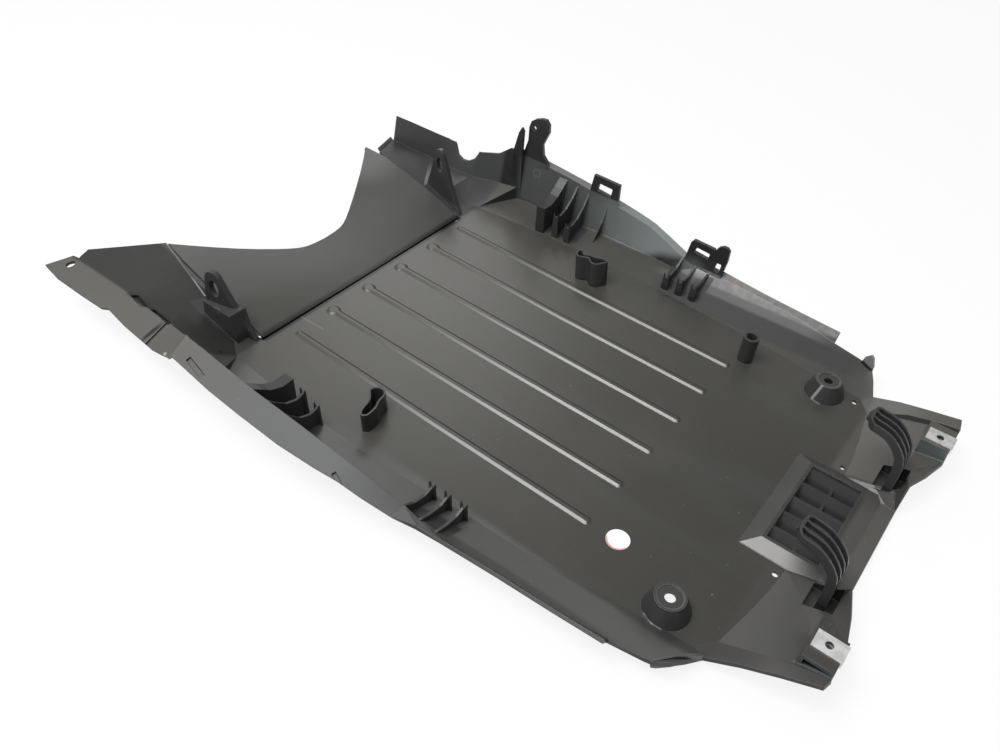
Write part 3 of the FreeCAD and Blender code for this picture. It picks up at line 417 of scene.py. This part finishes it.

# %% [markdown]
# ## Marks of use, painted shade and painted highlights
# Fine marks make the size believable: ejector rings, worn hooks on the flange's edge, a stain. The black
# line of the seam is partly its real gap and partly painted shade. The slots in the flange, the folds and
# the crease behind the vent are painted dark as shade. Painted highlights and glints lie along edges, on the
# cones and at the seam's far end, and a reflection of the bracket is painted by the seam. Each is one
# stroke, ring or patch at its measured place. A stroke has two ends, a width in millimetres and a strength.

# %% Draw the seam and the painted shade
# Painted shade: the seam's line is widened with painted shade, and the slots, folds and crease are painted
# dark as shade.
SEAM_AND_SHADE_MARKS = {
    "seam": ((-13.0, -141.0, 0.0), (-13.0, 141.0, 0.0), 5.0, 1.0),
    "seam up the near wall": ((-15.0, -142.0, 1.0), (-17.0, -196.0, 14.0), 2.6, 0.9),
    "fold across the flange": ((-50.2, -207.9, 44.0), (-55.0, -240.0, 38.0), 3.4, 1.0),
    "front slot": ((-107.0, -210.5, 45.0), (-88.0, -209.5, 41.0), 5.5, 0.9),
    "rear slot": ((-80.0, -208.5, 42.0), (-50.0, -208.5, 42.0), 4.2, 1.0),
    "crease behind the vent": ((510.6, 28.5, 12.0), (513.4, -32.5, 12.0), 1.6, 0.6),
    "near deck fold": ((518.0, -141.6, 20.5), (519.0, -92.0, 14.8), 1.8, 0.5),
    "far deck fold": ((518.0, 141.0, 20.5), (519.2, 86.0, 14.6), 1.8, 0.5),
    # Painted reflection: the bracket's reflection is painted as dark smears on the floor by the seam.
    "bracket's reflection by the seam": ((-4.0, 117.0, 0.0), (16.0, 100.0, 0.0), 7.0, 0.25)}


def draw(marks, colour):
    """Lay each stroke of a table over the pan."""
    for start, end, width, strength in marks.values():
        lay(pan_plastic.stroke(start, end, width) * strength, colour)
    print("drawn:", ", ".join(marks))


draw(SEAM_AND_SHADE_MARKS, grey(0.006))

# %% Draw the worn hooks and the painted highlights
# Painted highlights: glints on the tab's and wing's edges, on the cones and at the seam's far end. The hooks
# are worn pale.
HIGHLIGHT_AND_WEAR_MARKS = {
    "front hook": ((-18.6, -239.1, 45.0), (-3.5, -241.0, 45.0), 2.2, 0.8),
    "rear hook": ((147.2, -240.6, 45.0), (166.0, -241.5, 45.0), 1.8, 0.8),
    "small hook": ((-43.2, -243.6, 45.0), (-33.9, -244.1, 45.0), 1.8, 0.5),
    # Painted highlight: a pale line along a step in the floor by the seam.
    "highlight on the step by the seam": ((-14.8, -97.7, 0.0), (16.6, -96.4, 0.0), 1.0, 0.16),
    "glint at the seam's far end": ((-24.3, 147.9, 0.0), (-12.4, 135.7, 0.0), 2.0, 0.4),
    "highlight on the tab's edge": ((-181.3, -226.3, 44.0), (-189.4, -216.3, 44.0), 1.4, 0.6),
    "highlight on the wing's edge, front": ((-157.0, -138.9, 41.7), (-135.0, -143.0, 37.0), 1.3, 0.3),
    "highlight on the wing's edge, middle": ((-135.0, -143.0, 37.0), (-110.0, -147.0, 27.0), 1.3, 0.4),
    "highlight on the wing's edge, rear": ((-110.0, -147.0, 27.0), (-88.0, -150.6, 18.0), 1.3, 0.55),
    "glint on the far cone": ((426.4, 134.9, 15.3), (423.3, 130.0, 1.5), 1.8, 0.6),
    "glint on the far cone's foot": ((423.3, 130.0, 1.0), (431.0, 128.6, 0.0), 1.2, 0.3),
    "glint on the near cone's foot, front": ((417.9, -161.5, 0.8), (426.4, -164.9, 0.8), 1.1, 0.5),
    "glint on the near cone's foot, rear": ((426.4, -164.9, 0.8), (433.4, -164.6, 0.8), 1.0, 0.35)}
draw(HIGHLIGHT_AND_WEAR_MARKS, grey(0.42))

CONE_TOP = 15.2
RINGS = [((36.7, 219.0, 45.1), 5.0), ((156.9, 219.0, 10.6), 5.0), ((182.3, 219.0, 20.8), 5.0),
         ((212.3, 219.0, 9.9), 5.0), ((-48.0, -167.0, 31.0), 4.0),
         ((CONE_X, CONE_Y, CONE_TOP), 9.8), ((CONE_X, -CONE_Y, CONE_TOP), 9.8)]
for centre, radius in RINGS:
    lay(pan_plastic.ring(centre, radius, 1.1) * 0.16, grey(0.3))

# Painted highlight: a pale patch of light on the far lip beside the rear loop.
pale_highlight_patch = pan_plastic.near((249.0, 212.0, 17.0), 20.0)
rusty_stain = pan_plastic.near((300.0, 213.0, 20.0), 5.0)
lay(pale_highlight_patch * 0.6, grey(0.14, -0.02, 0.04))
lay(rusty_stain * 0.3, (0.4, 0.26, 0.14, 1.0))
print(len(RINGS), "rings")

# %% [markdown]
# ## Painted edge highlights, specks and grain
# Every edge of the moulding is painted pale as a highlight, in patches. The Bevel node knows where the edges
# are: its rounded normal turns away from the flat one there. The same normal softens the edges' shading, and
# a fine grain is bumped over it. The few white specks on the floor are thresholded noise.

# %% Finish the pan's plastic
soft_normal = pan_plastic.rounded()
turned = 1.0 - pan_plastic.vector("DOT_PRODUCT", soft_normal, pan_plastic.facing)["Value"]
# Painted highlight: every edge is painted pale, broken into patches by the clouds.
edge_highlight = turned.rise(0.015, 0.16) * (0.35 + 0.65 * clouds.rise(0.35, 0.6))
lay(edge_highlight * 0.6, grey(0.13))
specks = pan_plastic.noise(420.0, 1.0).rise(0.79, 0.82) * lying
lay(specks * 0.5, grey(0.3, 0.03))
lay(clouds.rise(0.45, 0.75) * lying * 0.09, grey(0.12, 0.05))
lay(fibre.rise(0.52, 0.72) * lying * 0.07, grey(0.11, -0.03, 0.03))

dull = 0.45 * vent_inside + 0.25 * near_wing + 0.15 * near_flange + 0.7 * cone_inside
pan_rough = 0.3 + 0.06 * clouds + 0.04 * grain + dull
pan_bump = pan_plastic.bump(grain, GRAIN_STRENGTH, GRAIN_DEPTH, {"Normal": soft_normal})
pan_plastic.feed(Base_Color=pan_plastic.tone, Roughness=pan_rough, Normal=pan_bump, IOR=PLASTIC_IOR)
print("pan plastic ready")

# %% [markdown]
# ## The deflector's plastic
# The front deflector is a second moulding of the same material. It sits lower in the dust, so its film is
# even, a little darker toward the near side. It ends in the shadow of the seam, and its far tip is pale.

# %% Mix the deflector's plastic
guard = Finish("deflector_plastic")
guard_clouds = guard.noise(11.0)
guard_film = guard.mix(guard.y.rise(-90.0, 90.0), grey(0.04, 0.06, 0.05), grey(0.046, 0.04, 0.04))

guard.tone = grey(0.014)
guard.lay(guard.up.rise(0.3, 0.8), guard_film)
guard.lay(guard_clouds.rise(0.45, 0.75) * 0.12, grey(0.085, 0.04))
guard.lay(guard.x.rise(-22.0, -17.0), grey(0.008))
guard.lay(guard.near((-150.0, 128.0, 38.0), 60.0) * 0.35, grey(0.2, 0.0, 0.01))

guard_grain = guard.noise(GRAIN_SCALE, 2.0)
guard_bump = guard.bump(guard_grain, GRAIN_STRENGTH, GRAIN_DEPTH, {"Normal": guard.rounded()})
guard_rough = 0.36 + 0.06 * guard_clouds
guard.feed(Base_Color=guard.tone, Roughness=guard_rough, Normal=guard_bump, IOR=PLASTIC_IOR)
print("deflector plastic ready")

# %% [markdown]
# ## The clip nuts and the label
# The clip nuts are folded from zinc-plated spring steel: bright, a little cloudy where the plating is thin,
# and brushed by the screw. The label is a white film disc, grimy, with a worn red rim along its lower edge.

# %% Mix the zinc and the label film
zinc = Finish("zinc")
bloom = zinc.noise(150.0)
scratch = zinc.noise(900.0, 3.0, stretch=(0.15, 1.0, 1.0))
zinc.tone = zinc.mix(bloom.rise(0.4, 0.65), grey(0.95), grey(0.72, 0.01))
zinc_bump = zinc.bump(scratch, 0.25, 0.05 * MM)
zinc.feed(Base_Color=zinc.tone, Metallic=1.0, Roughness=0.4 + 0.2 * bloom, Normal=zinc_bump)

LABEL_AT = (369.7, -119.4, 0.0)
LABEL_RADIUS = 9.6
RIM_RED = (0.5, 0.16, 0.15, 1.0)
film = Finish("label_film")
grime = film.noise(260.0, 5.0)
lower_part = 1.0 - film.y.rise(LABEL_AT[1] - 6.0, LABEL_AT[1] + 1.0)
film.tone = film.mix(grime.rise(0.45, 0.7) * 0.3, grey(0.86), grey(0.66, 0.02))
film.lay(film.ring(LABEL_AT, LABEL_RADIUS - 0.6, 1.3) * lower_part * 0.8, RIM_RED)
film.feed(Base_Color=film.tone, Roughness=0.45)
print("zinc and film ready")

# %% [markdown]
# ## Softer facets
# The moulding's walls and wings are doubly curved, and the solid model describes them with flat facets. A
# copy of each moulding is shaded smoothly across shallow creases, and stays crisp where the mould has a real
# edge or where a wall leaves the flat floor. Near the far front corner and over the near wing, steeper
# creases are smoothed too. The copy's corners stay where the solid has them.

# %% Copy the mouldings with smooth shading
SMOOTH_BELOW = math.radians(13)
WEB_SMOOTH_BELOW = math.radians(32)
WING_SMOOTH_BELOW = math.radians(30)
FLOOR_CREASE = math.radians(4)
FLAT_UP = 0.99999
WELD = 0.00002
WEB_AT = measured(5.0, 205.0, 20.0)
WEB_REACH = 42 * MM
WING_CORNER = measured(-15.0, -140.0, 0.0)


def soft_copy(name, node, finish):
    """A copy of a node with welded corners, smooth across shallow creases."""
    mesh = nodes[node].data.copy()
    mesh.name = name
    work = bmesh.new()
    work.from_mesh(mesh)
    bmesh.ops.remove_doubles(work, verts=work.verts, dist=WELD)
    bmesh.ops.dissolve_degenerate(work, edges=work.edges, dist=WELD)
    creases = 0
    for face in work.faces:
        face.smooth = True
        face.material_index = 0
    for edge in work.edges:
        if len(edge.link_faces) != 2:
            continue
        middle = (edge.verts[0].co + edge.verts[1].co) / 2
        limit = SMOOTH_BELOW
        if (middle - WEB_AT).length < WEB_REACH:
            limit = WEB_SMOOTH_BELOW
        elif middle.x < WING_CORNER.x and middle.y < WING_CORNER.y:
            limit = WING_SMOOTH_BELOW
        if any(abs(face.normal.z) > FLAT_UP for face in edge.link_faces):
            limit = FLOOR_CREASE
        edge.smooth = edge.calc_face_angle(math.pi) < limit
        creases += not edge.smooth
    work.to_mesh(mesh)
    work.free()
    if "custom_normal" in mesh.attributes:
        mesh.attributes.remove(mesh.attributes["custom_normal"])
    mesh.materials.clear()
    mesh.materials.append(finish.material)
    piece = bpy.data.objects.new(name, mesh)
    bpy.context.scene.collection.objects.link(piece)
    weigh = piece.modifiers.new("face weight", "WEIGHTED_NORMAL")
    weigh.keep_sharp = True
    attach(piece, "root")
    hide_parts(node)
    print(name, len(mesh.vertices), "corners,", creases, "creases")
    return piece


pan = soft_copy("pan_moulding", "pan", pan_plastic)
deflector = soft_copy("deflector_moulding", "front_deflector", guard)

for node, finish in (("clip_nut_left", zinc), ("clip_nut_right", zinc), ("round_label", film)):
    nodes[node].data.materials.clear()
    nodes[node].data.materials.append(finish.material)

# %% [markdown]
# ## The studio
# A white floor carries a faint shadow. One wide soft box hangs over the pan toward the near side, so the
# near slopes of the ribs and of the vent shine while the flat floor between them stays dark. A second box
# far in front lightens the front of the tray, and the world is grey all round and brightest overhead.

# %% Stage floor
FLOOR_REACH = 6.0
FLOOR_GAP = 0.2 * MM
WHITE_SHARE = 0.86
stage_mesh = bpy.data.meshes.new("stage_floor")
corners = [(-FLOOR_REACH, -FLOOR_REACH), (FLOOR_REACH, -FLOOR_REACH), (FLOOR_REACH, FLOOR_REACH),
           (-FLOOR_REACH, FLOOR_REACH)]
stage_mesh.from_pydata([(sx, sy, low_corner[2] - FLOOR_GAP) for sx, sy in corners], [], [(0, 1, 2, 3)])
stage = bpy.data.objects.new("stage_floor", stage_mesh)
bpy.context.scene.collection.objects.link(stage)

paper = Finish("stage_paper")
rays = paper.add("ShaderNodeLightPath")
plain = paper.add("ShaderNodeBsdfDiffuse", {}, {"Color": grey(0.86)})[0]
white = paper.add("ShaderNodeEmission", {}, {"Color": grey(1.0), "Strength": 1.0})[0]
seen = rays["Is Camera Ray"].most(rays["Is Glossy Ray"]).most(rays["Is Transmission Ray"])
both = paper.add("ShaderNodeMixShader", {}, {0: seen * WHITE_SHARE, 1: plain, 2: white})[0]
paper.tree.links.new(both.socket, paper.tree.nodes["Material Output"].inputs["Surface"])
stage_mesh.materials.append(paper.material)
print("stage ready")

# %% Lights and world


def soft_box(name, at, target, width, depth, power):
    """A rectangular lamp that faces a point."""
    data = bpy.data.lights.new(name, "AREA")
    data.shape = "RECTANGLE"
    data.size = width
    data.size_y = depth
    data.energy = power
    lamp = bpy.data.objects.new(name, data)
    lamp.location = at
    lamp.rotation_euler = (Vector(target) - Vector(at)).to_track_quat("-Z", "Y").to_euler()
    bpy.context.scene.collection.objects.link(lamp)
    return lamp


soft_box("overhead_box", at=(-0.28, -0.74, 1.75), target=(0.0, 0.0, 0.0), width=1.3, depth=0.7, power=34.0)
soft_box("front_box", at=(-1.9, 1.9, 2.0), target=(-0.1, 0.0, 0.0), width=1.2, depth=1.2, power=13.0)

world = bpy.data.worlds.new("studio")
bpy.context.scene.world = world
world.use_nodes = True
sky = world.node_tree
sky.nodes.clear()


def sky_node(kind, **values):
    """A world node with values on its named sockets."""
    node = sky.nodes.new(kind)
    for key, value in values.items():
        node.inputs[key].default_value = value
    return node


out = sky_node("ShaderNodeOutputWorld")
lit = sky_node("ShaderNodeBackground", Strength=0.5)
way = sky_node("ShaderNodeTexCoord")
split = sky_node("ShaderNodeSeparateXYZ")
ramp = sky_node("ShaderNodeValToRGB")
ramp.color_ramp.elements[0].position = 0.0
ramp.color_ramp.elements[0].color = grey(0.7)
ramp.color_ramp.elements[1].position = 1.0
ramp.color_ramp.elements[1].color = grey(1.0)
sky.links.new(way.outputs["Generated"], split.inputs[0])
sky.links.new(split.outputs[2], ramp.inputs[0])
sky.links.new(ramp.outputs[0], lit.inputs["Color"])
sky.links.new(lit.outputs[0], out.inputs["Surface"])
bpy.context.scene.view_settings.view_transform = "Standard"
print("studio ready")
